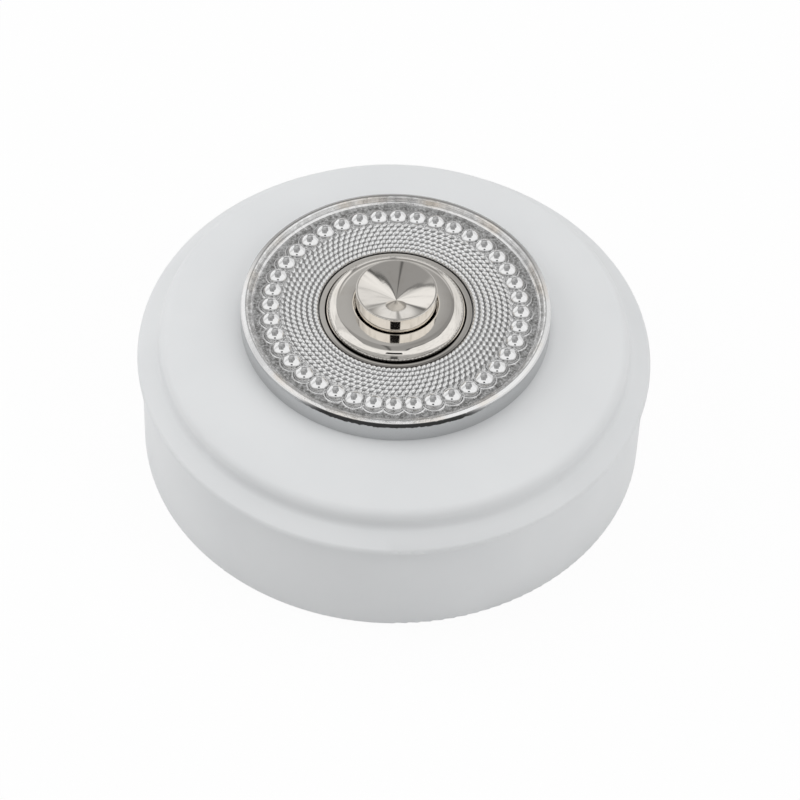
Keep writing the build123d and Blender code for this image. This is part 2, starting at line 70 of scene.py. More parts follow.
class Value:
    """A shader socket that takes part in Python arithmetic."""

    def __init__(self, tree: "ShaderTree", socket: bpy.types.NodeSocket) -> None:
        """Keeps the socket and the tree that it belongs to."""
        self.tree = tree
        self.socket = socket

    def other(self, name: str) -> "Value":
        """Another output of the same node."""
        return Value(self.tree, self.socket.node.outputs[name])

    def math(self, operation: str, *operands: Operand) -> "Value":
        """Adds one Math node with the given operation and values."""
        return self.tree.node("ShaderNodeMath", {"operation": operation}, dict(enumerate(operands)))

    def __add__(self, other: Operand) -> "Value":
        """This plus other."""
        return self.math("ADD", self, other)

    __radd__ = __add__

    def __sub__(self, other: Operand) -> "Value":
        """This less other."""
        return self.math("SUBTRACT", self, other)

    def __rsub__(self, other: float) -> "Value":
        """Other less this."""
        return self.math("SUBTRACT", other, self)

    def __mul__(self, other: Operand) -> "Value":
        """This times other."""
        return self.math("MULTIPLY", self, other)

    __rmul__ = __mul__

    def __truediv__(self, other: Operand) -> "Value":
        """This over other."""
        return self.math("DIVIDE", self, other)

    def __pow__(self, other: Operand) -> "Value":
        """This to the power of other."""
        return self.math("POWER", self, other)

    def __neg__(self) -> "Value":
        """This with its sign turned."""
        return 0 - self

    def __abs__(self) -> "Value":
        """Size of this without its sign."""
        return self.math("ABSOLUTE", self)

    def at_least(self, other: Operand) -> "Value":
        """The larger of this and other."""
        return self.math("MAXIMUM", self, other)

    def held(self, low: float, high: float) -> "Value":
        """This, kept between low and high."""
        return self.math("MINIMUM", self.at_least(low), high)

    def rise(self, low: float, high: float) -> "Value":
        """Smooth step of this value.

        Args:
            low: Where the step starts.
            high: Where it has reached 1; below low for a falling step.

        Returns:
            0 before the step, 1 after it.
        """
        if low > high:
            return 1 - self.rise(high, low)
        settings = {"interpolation_type": "SMOOTHSTEP", "clamp": True}
        inputs = {"Value": self, "From Min": low, "From Max": high}
        return self.tree.node("ShaderNodeMapRange", settings, inputs)

    def within(self, low: float, high: float, edge: float) -> "Value":
        """Mask of a band from low to high, each end of which fades over edge to both sides."""
        return self.rise(low - edge, low + edge) * self.rise(high + edge, high - edge)

    def over(self, fade: Fade) -> "Value":
        """Smooth step of a length in metres, between two sizes in millimetres."""
        return self.rise(fade[0] * MM, fade[1] * MM)

    def inside(self, band: Fade, edge: float) -> "Value":
        """Soft band mask of a length in metres, with the band and its edge in millimetres."""
        return self.within(band[0] * MM, band[1] * MM, edge * MM)


class ShaderTree:
    """Node tree of one material or world, filled by expressions."""

    def __init__(self, owner: Union[bpy.types.Material, bpy.types.World]) -> None:
        """Empties the owner's node tree and keeps it."""
        owner.use_nodes = True
        self.nodes = owner.node_tree.nodes
        self.links = owner.node_tree.links
        self.nodes.clear()
        self._place: Optional[Value] = None

    def node(self, kind: str, settings: Optional[Mapping[str, Any]] = None,
             inputs: Optional[Mapping[Union[int, str], Any]] = None, output: Union[int, str] = 0) -> Value:
        """Adds a node.

        Args:
            kind: Blender's type name of the node.
            settings: Its own settings, set before its sockets.
            inputs: Values or links by socket name or number.
            output: The output to return.

        Returns:
            The chosen output as a value.
        """
        made = self.nodes.new(kind)
        for name, setting in (settings or {}).items():
            setattr(made, name, setting)
        for key, value in (inputs or {}).items():
            if isinstance(value, Value):
                self.links.new(value.socket, made.inputs[key])
            else:
                made.inputs[key].default_value = value
        return Value(self, made.outputs[output] if made.outputs else None)

    def mix(self, factor: Operand, first: Union[Value, Colour], second: Union[Value, Colour]) -> Value:
        """Mix of two colours, where factor is the share of the second."""
        pair = [c if isinstance(c, Value) else (*c, 1.0) for c in (first, second)]
        return self.node("ShaderNodeMix", {"data_type": "RGBA"}, {0: factor, 6: pair[0], 7: pair[1]}, 2)

    def place(self) -> Value:
        """Position on the piece, in metres."""
        self._place = self._place or self.node("ShaderNodeTexCoord", output="Object")
        return self._place

    def axes(self) -> tuple[Value, Value, Value]:
        """The three parts of the position, in metres."""
        x = self.node("ShaderNodeSeparateXYZ", inputs={0: self.place()})
        return x, x.other("Y"), x.other("Z")

    def radius(self) -> Value:
        """Distance from the button's axis, in metres."""
        x, y, _ = self.axes()
        return (x * x + y * y) ** 0.5

    def vector(self, x: Operand, y: Operand, z: Operand) -> Value:
        """A vector from three values."""
        return self.node("ShaderNodeCombineXYZ", inputs={0: x, 1: y, 2: z})

    def noise(self, scale: float, detail: float = 2.0, roughness: float = 0.5,
              at: Optional[Value] = None) -> Value:
        """Cloudy noise about 0.5, with scale waves per metre, read at the position or another place."""
        inputs = {"Vector": at or self.place(), "Scale": scale, "Detail": detail, "Roughness": roughness}
        return self.node("ShaderNodeTexNoise", {"noise_dimensions": "3D"}, inputs)

    def cells(self, scale: float) -> Value:
        """Distance to the nearest of scattered points, scale points per metre."""
        inputs = {"Vector": self.place(), "Scale": scale}
        return self.node("ShaderNodeTexVoronoi", {"feature": "F1"}, inputs, "Distance")

    def bump(self, height: Value, depth: float, strength: float) -> Value:
        """Normal of a relief from 0 to 1, of a depth in metres, of which strength is the share that shows."""
        return self.node("ShaderNodeBump", None, {"Strength": strength, "Distance": depth, "Height": height})

    def coat(self, colour: Value, roughness: Value, normal: Value, metallic: float = 0.0) -> None:
        """Ends a material in one Principled shader; metallic is 1 for metal."""
        inputs = {"Base Color": colour, "Roughness": roughness, "Normal": normal, "Metallic": metallic}
        self.surface(self.node("ShaderNodeBsdfPrincipled", None, inputs))

    def surface(self, shader: Value, output: str = "ShaderNodeOutputMaterial") -> None:
        """Ends the tree in the given shader."""
        self.node(output, None, {"Surface": shader})


@dataclass(frozen=True)
class Finish:
    """A finish of the part, laid as a procedural material."""

    name: str

    def material(self) -> bpy.types.Material:
        """The finish as a material, made on first use.

        Returns:
            The material.
        """
        made = bpy.data.materials.get(self.name)
        if made is None:
            made = bpy.data.materials.new(self.name)
            self.lay(ShaderTree(made))
        return made

    def lay(self, tree: ShaderTree) -> None:
        """Fills the material's tree; each finish has its own."""
        raise NotImplementedError


@dataclass(frozen=True)
class Porcelain(Finish):
    """Satin white porcelain with faint clouds, a fine grain and a few specks."""

    body: Colour = (0.80, 0.812, 0.82)
    cloud: Colour = (0.775, 0.788, 0.798)
    speck: Colour = (0.60, 0.59, 0.57)
    gloss: float = 0.42
    relief_depth: float = 0.00002

    def lay(self, tree: ShaderTree) -> None:
        """Lays clouds, specks and the satin grain.

        Args:
            tree: The material's tree.
        """
        clouds = tree.noise(55, 3)
        grain = tree.noise(2600, 2)
        specks = tree.cells(420).rise(0.045, 0.02) * tree.noise(90, 1).rise(0.52, 0.62)
        colour = tree.mix(clouds.rise(0.35, 0.75), self.body, self.cloud)
        colour = tree.mix(specks * 0.5, colour, self.speck)
        relief = grain * 0.35 + tree.noise(380, 2) * 0.65
        roughness = self.gloss + clouds * 0.08 + grain * 0.05
        tree.coat(colour, roughness, tree.bump(relief, self.relief_depth, 0.5))


@dataclass(frozen=True)
class CastChrome(Finish):
    """Bright plate over a casting: polished beads, worn rim, grained floor, painted shade in the knurl's
    hollows, on the outer wall and along the mould's seam at the front, and painted dark reflections round the
    beads' feet and on the rim's back; levels and radii in mm.
    """

    plate: Colour = (0.90, 0.90, 0.90)
    warm: Colour = (0.82, 0.76, 0.69)
    worn: Colour = (0.40, 0.39, 0.375)
    tarnish_and_shade: Colour = (0.24, 0.237, 0.23)
    wall: Colour = (0.58, 0.585, 0.59)
    parting_and_shade: Colour = (0.03, 0.03, 0.03)
    gloss: float = 0.16
    bead_polish: float = 0.12
    relief_depth: float = 0.00009
    soft: float = 0.1
    floor_level: Fade = (28.34, 28.25)
    floor_ring: Fade = (17.5, 22.0)
    knurl_level: Fade = (28.58, 28.42)
    knurl_ring: Fade = (17.8, 17.6)
    bead_level: Fade = (28.45, 28.7)
    bead_ring: Fade = (17.5, 21.2)
    foot_level: Fade = (29.05, 28.55)
    rim_level: Fade = (28.5, 28.7)
    rim_ring: Fade = (22.1, 23.7)
    rim_slope: Fade = (23.25, 22.95)
    slope_back: Fade = (0.0, 15.0)
    crest_ring: Fade = (23.0, 23.15)
    crest_back: Fade = (2.0, 14.0)
    wall_ring: Fade = (23.84, 23.88)
    wall_level: Fade = (29.2, 29.0)
    parting_level: Fade = (28.5, 29.25)
    parting_ring: Fade = (23.6, 23.7)
    parting_front: Fade = (18.6, 21.6)
    parting_edge: float = 0.05
    parting_stray: float = 0.9

    def lay(self, tree: ShaderTree) -> None:
        """Lays plate by level: bright beads, a grained floor, painted shade in the knurl's hollows and on the
        outer wall, painted dark reflections round the beads' feet and on the rim's back, and a worn rim with
        a ragged line where the mould parted, deepened by painted shade at the front.

        Args:
            tree: The material's tree.
        """
        _, depth, height = tree.axes()
        radius = tree.radius()
        clouds = tree.noise(420, 3)
        ragged = tree.noise(900, 3, 0.65)
        sand = tree.noise(2600, 2, 0.7)
        grain = tree.noise(1500, 2, 0.6)
        floor = height.over(self.floor_level) * radius.inside(self.floor_ring, self.soft)
        # Painted shade in the knurl's hollows between the studs.
        hollow = height.over(self.knurl_level) * radius.over(self.knurl_ring)
        bead = height.over(self.bead_level) * radius.inside(self.bead_ring, self.soft)
        # Painted dark reflection round each bead's foot, for the dark neighbours that the beads mirror.
        foot = bead * height.over(self.foot_level)
        # Painted shade: the outer wall's plate is dimmed so that it mirrors less light.
        side = radius.over(self.wall_ring) * height.over(self.wall_level)
        rim = radius.inside(self.rim_ring, self.soft) * height.over(self.rim_level)
        slope = rim * radius.over(self.rim_slope) * ragged.rise(0.35, 0.62)
        # Painted dark reflection along the outer rim at the back, for the shaded lid edge that it mirrors.
        rim_back_reflection = depth.over(self.crest_back) * radius.over(self.crest_ring)
        # A dark line where the mould parted, deepened to near black towards the front as painted shade.
        edge = height + (ragged - 0.5) * (self.parting_stray * MM)
        line = edge.inside(self.parting_level, self.parting_edge) * radius.over(self.parting_ring)
        line = line * (0.12 + (-depth).over(self.parting_front) * 0.88)
        colour = tree.mix(rim * tree.noise(160, 2).rise(0.45, 0.7) * 0.7, self.plate, self.warm)
        # Ragged wear on the rim's slope, thinned towards the back as painted light so that side reads
        # lighter.
        colour = tree.mix(slope * (0.55 - depth.over(self.slope_back) * 0.3), colour, self.worn)
        # Painted dark reflection on the rim's back.
        colour = tree.mix(rim_back_reflection * 0.85, colour, self.tarnish_and_shade)
        # Painted shade on the outer wall.
        colour = tree.mix(side, colour, self.wall)
        # Real grain on the floor; painted shade in the knurl's hollows and a painted dark reflection round
        # the beads' feet.
        colour = tree.mix(floor * (sand * 2.8 - 0.85) + hollow * 0.6 + foot * 0.45, colour, self.tarnish_and_shade)
        # Dark mould line, mostly painted shade at the front.
        colour = tree.mix(line * 0.95, colour, self.parting_and_shade)
        relief = sand * floor * 1.6 + clouds * 0.06 + ragged * rim * 0.7
        relief = relief + grain * (1 - floor) * (1 - bead) * 0.25
        roughness = self.gloss - bead * self.bead_polish + floor * 0.20 + clouds * 0.06 + line * 0.4
        tree.coat(colour, roughness, tree.bump(relief, self.relief_depth, 0.8), 1.0)


@dataclass(frozen=True)
class TurnedNickel(Finish):
    """Warm nickel plate with the fine rings that turning leaves; levels and radii in millimetres."""

    plate: Colour = (0.86, 0.825, 0.775)
    stain: Colour = (0.70, 0.65, 0.58)
    painted_shade: Colour = (0.025, 0.022, 0.02)
    gloss: float = 0.02
    relief_depth: float = 0.000003
    groove_r: float = 10.84
    groove_width: Fade = (0.12, 0.05)
    groove_level: Fade = (28.62, 28.37)
    groove_front: Fade = (3.0, 9.0)
    groove_growth: float = 0.14
    edge_ring: Fade = (11.70, 11.78)
    flange_ring: Fade = (10.84, 11.04)
    flange_front: Fade = (4.0, 10.0)
    highlight_ring: Fade = (11.15, 11.4)
    highlight_edge: float = 0.05

    def lay(self, tree: ShaderTree) -> None:
        """Lays turning rings, faint stains, painted shade in the groove at the shoulder's foot and over the
        flange's front, and a lighter ring on the flange as a painted highlight.

        Args:
            tree: The material's tree.
        """
        _, depth, height = tree.axes()
        radius = tree.radius()
        rings = tree.noise(9000, 2, 0.6, tree.vector(radius, height, 0.0))
        clouds = tree.noise(300, 3)
        # Painted shade in the groove at the shoulder's foot and at the flange's outer edge, widened towards
        # the front.
        growth = (-depth).over(self.groove_front) * (self.groove_growth * MM)
        low = (height - growth).over(self.groove_level)
        groove = (abs(radius - self.groove_r * MM) - growth).over(self.groove_width)
        groove_shade = low * (groove + radius.over(self.edge_ring))
        # Painted shade over the flange's front, with a lighter ring left in it as a painted highlight.
        flange = low * radius.over(self.flange_ring) * (-depth).over(self.flange_front)
        bright = radius.inside(self.highlight_ring, self.highlight_edge)
        colour = tree.mix(clouds.rise(0.5, 0.8) * 0.35, self.plate, self.stain)
        # Painted shade on the flange's front, sparing the painted highlight ring.
        colour = tree.mix(flange * (1 - bright) * 0.55, colour, self.painted_shade)
        # Painted shade in the groove and at the flange's edge.
        colour = tree.mix(groove_shade * 0.95, colour, self.painted_shade)
        roughness = self.gloss + rings * 0.03 + clouds * 0.03
        tree.coat(colour, roughness, tree.bump(rings, self.relief_depth, 0.5), 1.0)


@dataclass(frozen=True)
class PlainMetal(Finish):
    """Bright inner metal, drawn or rolled, with faint lines and dull spots."""

    metal: Colour = (0.60, 0.60, 0.61)
    dull: Colour = (0.42, 0.42, 0.43)
    gloss: float = 0.24
    relief_depth: float = 0.00001

    def lay(self, tree: ShaderTree) -> None:
        """Lays drawn lines across and dull clouds over the metal.

        Args:
            tree: The material's tree.
        """
        x, y, z = tree.axes()
        lines = tree.noise(900, 2, 0.6, tree.vector(x * 0.15, y, z * 4.0))
        clouds = tree.noise(500, 3)
        colour = tree.mix(clouds.rise(0.4, 0.75) * 0.6, self.metal, self.dull)
        roughness = self.gloss + lines * 0.12 + clouds * 0.1
        tree.coat(colour, roughness, tree.bump(lines, self.relief_depth, 0.5), 1.0)


@dataclass(frozen=True)
class Moulded(Finish):
    """Dark rubber or pressed insulating stuff with paler clouds and a fine moulded grain."""

    dark: Colour = (0.022, 0.022, 0.023)
    pale: Colour = (0.06, 0.06, 0.062)
    gloss: float = 0.62
    dulling: float = 0.15
    clouds: tuple[float, ...] = (260, 3)
    cloud_fade: Fade = (0.4, 0.8)
    grain: tuple[float, ...] = (4200, 2)
    relief_depth: float = 0.00003
    relief_share: float = 0.6

    def lay(self, tree: ShaderTree) -> None:
        """Lays clouds and grain.

        Args:
            tree: The material's tree.
        """
        clouds = tree.noise(*self.clouds)
        colour = tree.mix(clouds.rise(*self.cloud_fade), self.dark, self.pale)
        normal = tree.bump(tree.noise(*self.grain), self.relief_depth, self.relief_share)
        tree.coat(colour, self.gloss + clouds * self.dulling, normal)


PORCELAIN = Porcelain("satin_porcelain")
CHROME = CastChrome("cast_chrome")
NICKEL = TurnedNickel("turned_nickel")
STEEL = PlainMetal("zinc_steel")
BRASS = PlainMetal("rolled_brass", metal=(0.72, 0.52, 0.24), dull=(0.50, 0.34, 0.15), gloss=0.22)
RUBBER = Moulded("black_rubber")
MOULDING = Moulded("dark_moulding", dark=(0.035, 0.028, 0.024), pale=(0.07, 0.055, 0.045), gloss=0.36,
                   dulling=0.12, clouds=(220, 4, 0.6), cloud_fade=(0.45, 0.75), grain=(1800, 1),
                   relief_depth=0.00002, relief_share=0.5)


class Shell:
    """Points and faces gathered into one mesh; sizes come in millimetres and leave in metres."""

    def __init__(self) -> None:
        """Starts empty."""
        self._points: list[np.ndarray] = []
        self._faces: list[np.ndarray] = []
        self._count = 0

    def grid(self, points: np.ndarray, wrap: bool = False, caps: bool = False) -> None:
        """Adds a surface over a grid of points, each row of which is a loop.

        Args:
            points: Array of rows, columns and coordinates, in millimetres.
            wrap: Joins the last row to the first.
            caps: Closes the first and last row, each to a point at its middle.
        """
        rows, columns = points.shape[:2]
        index = np.arange(rows * columns).reshape(rows, columns)
        lower = np.roll(index, -1, 0) if wrap else index[1:]
        upper = index if wrap else index[:-1]
        quads = [upper, np.roll(upper, -1, 1), np.roll(lower, -1, 1), lower]
        flat = points.reshape(-1, 3)
        faces = [np.stack(quads, -1).reshape(-1, 4)]
        if caps:
            flat = np.vstack([flat, points[0].mean(0), points[-1].mean(0)])
            first, last = index[0], index[-1]
            ends = np.full(columns, rows * columns)
            faces.append(np.stack([np.roll(first, -1), first, ends], -1))
            faces.append(np.stack([last, np.roll(last, -1), ends + 1], -1))
        self._points.append(flat)
        self._faces.extend(f + self._count for f in faces)
        self._count += len(flat)

    def lathe(self, section: np.ndarray, steps: int, caps: bool = False) -> None:
        """Turns a section about the axis, as a loop or, with caps, closed on the axis at both ends."""
        self.grid(polar(section[:, :1], angles(steps), section[:, 1:]), wrap=not caps, caps=caps)

    def piece(self, name: str, sharp: float = 32.0) -> bpy.types.Object:
        """Makes the object.

        Args:
            name: The piece's name.
            sharp: Edges that turn by more than this many degrees stay sharp.

        Returns:
            The new object, linked to the scene.
        """
        mesh = bpy.data.meshes.new(name)
        faces = [face for part in self._faces for face in part.tolist()]
        mesh.from_pydata((np.vstack(self._points) * MM).tolist(), [], faces)
        mesh.polygons.foreach_set("use_smooth", np.ones(len(mesh.polygons), bool))
        mesh.set_sharp_from_angle(angle=math.radians(sharp))
        mesh.update()
        made = bpy.data.objects.new(name, mesh)
        bpy.context.scene.collection.objects.link(made)
        return made


def angles(steps: int) -> np.ndarray:
    """Even angles round a circle."""
    return np.arange(steps) * FULL_TURN / steps


def polar(radius: Numbers, turn: Numbers, height: Numbers) -> np.ndarray:
    """Points from radius, angle and height, whose shapes spread over one another."""
    return np.stack(np.broadcast_arrays(radius * np.cos(turn), radius * np.sin(turn), height), -1)


def outline(corners: Sequence[Corner], closed: bool = True, steps: int = 8) -> np.ndarray:
    """Section with rounded corners.

    Args:
        corners: Radius, height and rounding of each corner, in order.
        closed: The section is a loop; otherwise its first and last corner stay as they are.
        steps: Chords in each rounding.

    Returns:
        Radius and height rows.
    """
    rows: list[np.ndarray] = []
    count = len(corners)
    for i, (r, z, rounding) in enumerate(corners):
        here = np.array([r, z])
        if rounding == 0 or (not closed and i in (0, count - 1)):
            rows.append(here)
            continue
        before = np.array(corners[i - 1][:2]) - here
        after = np.array(corners[(i + 1) % count][:2]) - here
        before /= np.linalg.norm(before)
        after /= np.linalg.norm(after)
        half = math.acos(max(-1.0, min(1.0, float(before @ after)))) / 2
        middle = here + (before + after) / np.linalg.norm(before + after) * rounding / math.sin(half)
        start = here + before * rounding / math.tan(half) - middle
        end = here + after * rounding / math.tan(half) - middle
        first = math.atan2(start[1], start[0])
        sweep = (math.atan2(end[1], end[0]) - first + math.pi) % FULL_TURN - math.pi
        for k in range(steps + 1):
            angle = first + sweep * k / steps
            rows.append(middle + rounding * np.array([math.cos(angle), math.sin(angle)]))
    return np.array(rows)


def solid_size(node: str) -> tuple[float, float, float]:
    """Radius, lowest and highest level of a round CAD node, in millimetres to a hundredth."""
    low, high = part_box(node)
    return round(high[0] / MM, 2), round(low[2] / MM, 2), round(high[2] / MM, 2)


class Body(Enum):
    """Bodies that move apart."""

    FIXED = "base"
    MOVING = "button"


class Slot(Enum):
    """Material slots of the record."""

    CHROME = "chrome"
    NICKEL = "nickel"
    STEEL = "steel"


def paint(piece: bpy.types.Object, finish: Finish) -> None:
    """Puts one finish on every material slot of a piece.

    Args:
        piece: The object.
        finish: Its finish.
    """
    if not piece.material_slots:
        piece.data.materials.append(None)
    for slot in piece.material_slots:
        slot.material = finish.material()


def settle(piece: bpy.types.Object, body: Body, finish: Finish, slot: Slot, *nodes: str) -> None:
    """Dresses a new piece and sets it on its body.

    Args:
        piece: The object, in place.
        body: The body that it moves with.
        finish: Its finish.
        slot: The record's slot of that finish; not used.
        nodes: CAD nodes that it stands for.
    """
    paint(piece, finish)
    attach(piece, body.value)
    if nodes:
        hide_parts(*nodes)
    LOG.info("%s: %d faces on %s", piece.name, len(piece.data.polygons), body.value)


def dress_node(node: str, finish: Finish) -> None:
    """Gives a CAD node its finish and smooth shading.

    Args:
        node: The node's name.
        finish: Its finish.
    """
    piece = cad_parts[node]
    paint(piece, finish)
    piece.data.polygons.foreach_set("use_smooth", np.ones(len(piece.data.polygons), bool))
    weld = piece.modifiers.new("join_faces", "WELD")
    weld.merge_threshold = SAME_PLACE
    split = piece.modifiers.new("sharp_edges", "EDGE_SPLIT")
    split.split_angle = math.radians(SHARP_TURN)
    LOG.info("%s: kept, %s", node, finish.name)


@dataclass
class PorcelainBody:
    """Base drum and lid."""

    nodes: tuple[str, ...] = ("base_drum", "lid")

    def dress(self) -> None:
        """Gives both their glaze."""
        for node in self.nodes:
            dress_node(node, PORCELAIN)


@dataclass
class Rosette:
    """Cast chrome disc with a beaded ring and a knurled band; sizes in millimetres."""

    outer_r: float
    foot_z: float
    top_z: float = 29.5
    foot_round: float = 0.12
    rim_width: float = 1.15
    rim_slope_width: float = 0.8
    rim_slope_drop: float = 0.5
    rim_inner_drop: float = 0.24
    rim_round: float = 0.3
    step_z: float = 28.8
    step_width: float = 0.75
    step_chamfer: float = 0.3
    step_chamfer_drop: float = 0.225
    step_round: float = 0.05
    floor_z: float = 28.2
    floor_round: float = 0.08
    band_r: float = 18.0
    band_z: float = 28.4
    band_round: float = 0.1
    hole_r: float = 11.95
    hole_round: float = 0.12
    seat_z: float = 26.9
    barrel_hole_r: float = 9.7
    gasket_z: float = 26.4
    gasket_r: float = 20.15
    disc_columns: int = 240
    bead_count: int = 40
    bead_circle_r: float = 19.3
    bead_rise: float = 1.3
    bead_r: float = 1.58
    bead_crown: float = 1.75
    bead_edge: float = 1.0
    bead_turn: float = 0.6
    bead_columns: int = 40
    bead_scatter: float = 0.008
    bead_rise_scatter: float = 0.01
    collar_r: float = 1.97
    collar_top_r: float = 1.77
    collar_land: float = 0.05
    collar_rise: float = 0.22
    collar_groove: float = 0.08
    collar_root: float = 0.2
    knurl_rings: int = 7
    knurl_first_r: float = 12.4
    knurl_pitch: float = 0.88
    knurl_count: int = 100
    knurl_shift: float = 0.36
    knurl_long: float = 0.74
    knurl_wide: float = 0.40
    knurl_rise: float = 0.44
    knurl_tip: float = 0.5
    knurl_slant: float = 30.0
    knurl_root: float = 0.1
    knurl_columns: int = 16
    knurl_scatter: float = 0.05
    seed: int = 7

    def build(self) -> None:
        """Makes disc, beads and knurl."""
        settle(self.disc(), Body.FIXED, CHROME, Slot.CHROME, "rosette")
        settle(self.beads(), Body.FIXED, CHROME, Slot.CHROME)
        settle(self.knurl(), Body.FIXED, CHROME, Slot.CHROME)

    def disc(self) -> bpy.types.Object:
        """The disc with its rim, step, floor, band and seat.

        Returns:
            The disc.
        """
        inner = self.outer_r - self.rim_width
        step = inner - self.step_width
        shell = Shell()
        shell.lathe(outline([
            (self.outer_r, self.foot_z, self.foot_round),
            (self.outer_r, self.top_z - self.rim_slope_drop, self.rim_round),
            (self.outer_r - self.rim_slope_width, self.top_z, self.rim_round),
            (inner, self.top_z - self.rim_inner_drop, self.rim_round / 2),
            (inner, self.step_z, self.floor_round),
            (step + self.step_chamfer, self.step_z, self.step_round),
            (step, self.step_z - self.step_chamfer_drop, self.step_round),
            (step, self.floor_z, self.floor_round),
            (self.band_r, self.floor_z, self.floor_round),
            (self.band_r, self.band_z, self.band_round),
            (self.hole_r, self.band_z, self.hole_round),
            (self.hole_r, self.seat_z, 0.0),
            (self.barrel_hole_r, self.seat_z, 0.0),
            (self.barrel_hole_r, self.foot_z, 0.0),
            (self.hole_r, self.foot_z, 0.0),
            (self.hole_r, self.gasket_z, 0.0),
            (self.gasket_r, self.gasket_z, 0.0),
            (self.gasket_r, self.foot_z, 0.0),
        ]), self.disc_columns)
        return shell.piece("rosette_disc")

    def bead_section(self) -> np.ndarray:
        """Section of one bead: a collar with a chamfer, a fine groove and a dome.

        Returns:
            Radius and height rows above the floor, from the collar's root to near the dome's top.
        """
        collar = [
            (self.collar_r, -self.collar_root),
            (self.collar_r, 0.0),
            (self.collar_top_r, self.collar_rise),
            (self.collar_top_r - self.collar_land, self.collar_rise),
            (self.bead_r + self.collar_groove, 0.02),
            (self.bead_r + 0.01, 0.0),
        ]
        edge_at = self.bead_r - self.bead_edge
        turnover = math.asin(edge_at / (self.bead_crown - self.bead_edge))
        edge_z = self.bead_rise - self.bead_crown + edge_at / math.tan(turnover)
        edge = np.linspace(math.pi / 2, turnover, 9)
        crown = np.linspace(turnover, 0.0, 14)[1:-1]
        flank = np.stack([edge_at + self.bead_edge * np.sin(edge), edge_z + self.bead_edge * np.cos(edge)], 1)
        top_z = self.bead_rise - self.bead_crown * (1 - np.cos(crown))
        return np.vstack([collar, flank, np.stack([self.bead_crown * np.sin(crown), top_z], 1)])

    def beads(self) -> bpy.types.Object:
        """The ring of beads, a little uneven from casting.

        Returns:
            The beads as one piece.
        """
        chance = np.random.default_rng(self.seed)
        shell = Shell()
        around = angles(self.bead_columns)
        section = self.bead_section()
        for i in range(self.bead_count):
            turn = FULL_TURN * i / self.bead_count + math.radians(self.bead_turn)
            size = 1 + chance.normal(0, self.bead_scatter)
            level = section[:, 1:] * (1 + chance.normal(0, self.bead_rise_scatter))
            middle = polar(self.bead_circle_r, turn, self.floor_z)
            shell.grid(middle + polar(size * section[:, :1], around, level), caps=True)
        return shell.piece("rosette_beads", sharp=25)

    def knurl(self) -> bpy.types.Object:
        """Rings of small peaked studs between beads and hole, each set aslant like the strands of a rope.

        Returns:
            The studs as one piece.
        """
        chance = np.random.default_rng(self.seed + 1)
        shell = Shell()
        around = angles(self.knurl_columns)
        reach = np.array([1.0, 1.0, 0.85, 0.65, 0.45, 0.25, 0.1])[:, None]
        fall = np.hypot(reach, self.knurl_tip) - self.knurl_tip
        level = self.knurl_rise * (1 - fall / fall[0])
        level[0] = -self.knurl_root
        slant = math.radians(self.knurl_slant)
        for ring in range(self.knurl_rings):
            middle = self.knurl_first_r + ring * self.knurl_pitch
            length = self.knurl_long * FULL_TURN * middle / self.knurl_count * reach * np.cos(around)
            width = self.knurl_wide * reach * np.sin(around)
            across = length * math.cos(slant) - width * math.sin(slant)
            out = middle - length * math.sin(slant) - width * math.cos(slant)
            for stud in range(self.knurl_count):
                turn = FULL_TURN * (stud + self.knurl_shift * ring) / self.knurl_count
                x = out * math.cos(turn) - across * math.sin(turn)
                y = out * math.sin(turn) + across * math.cos(turn)
                z = self.band_z + level * (1 + chance.normal(0, self.knurl_scatter))
                shell.grid(np.stack(np.broadcast_arrays(x, y, z), -1), caps=True)
        return shell.piece("rosette_knurl", sharp=75)


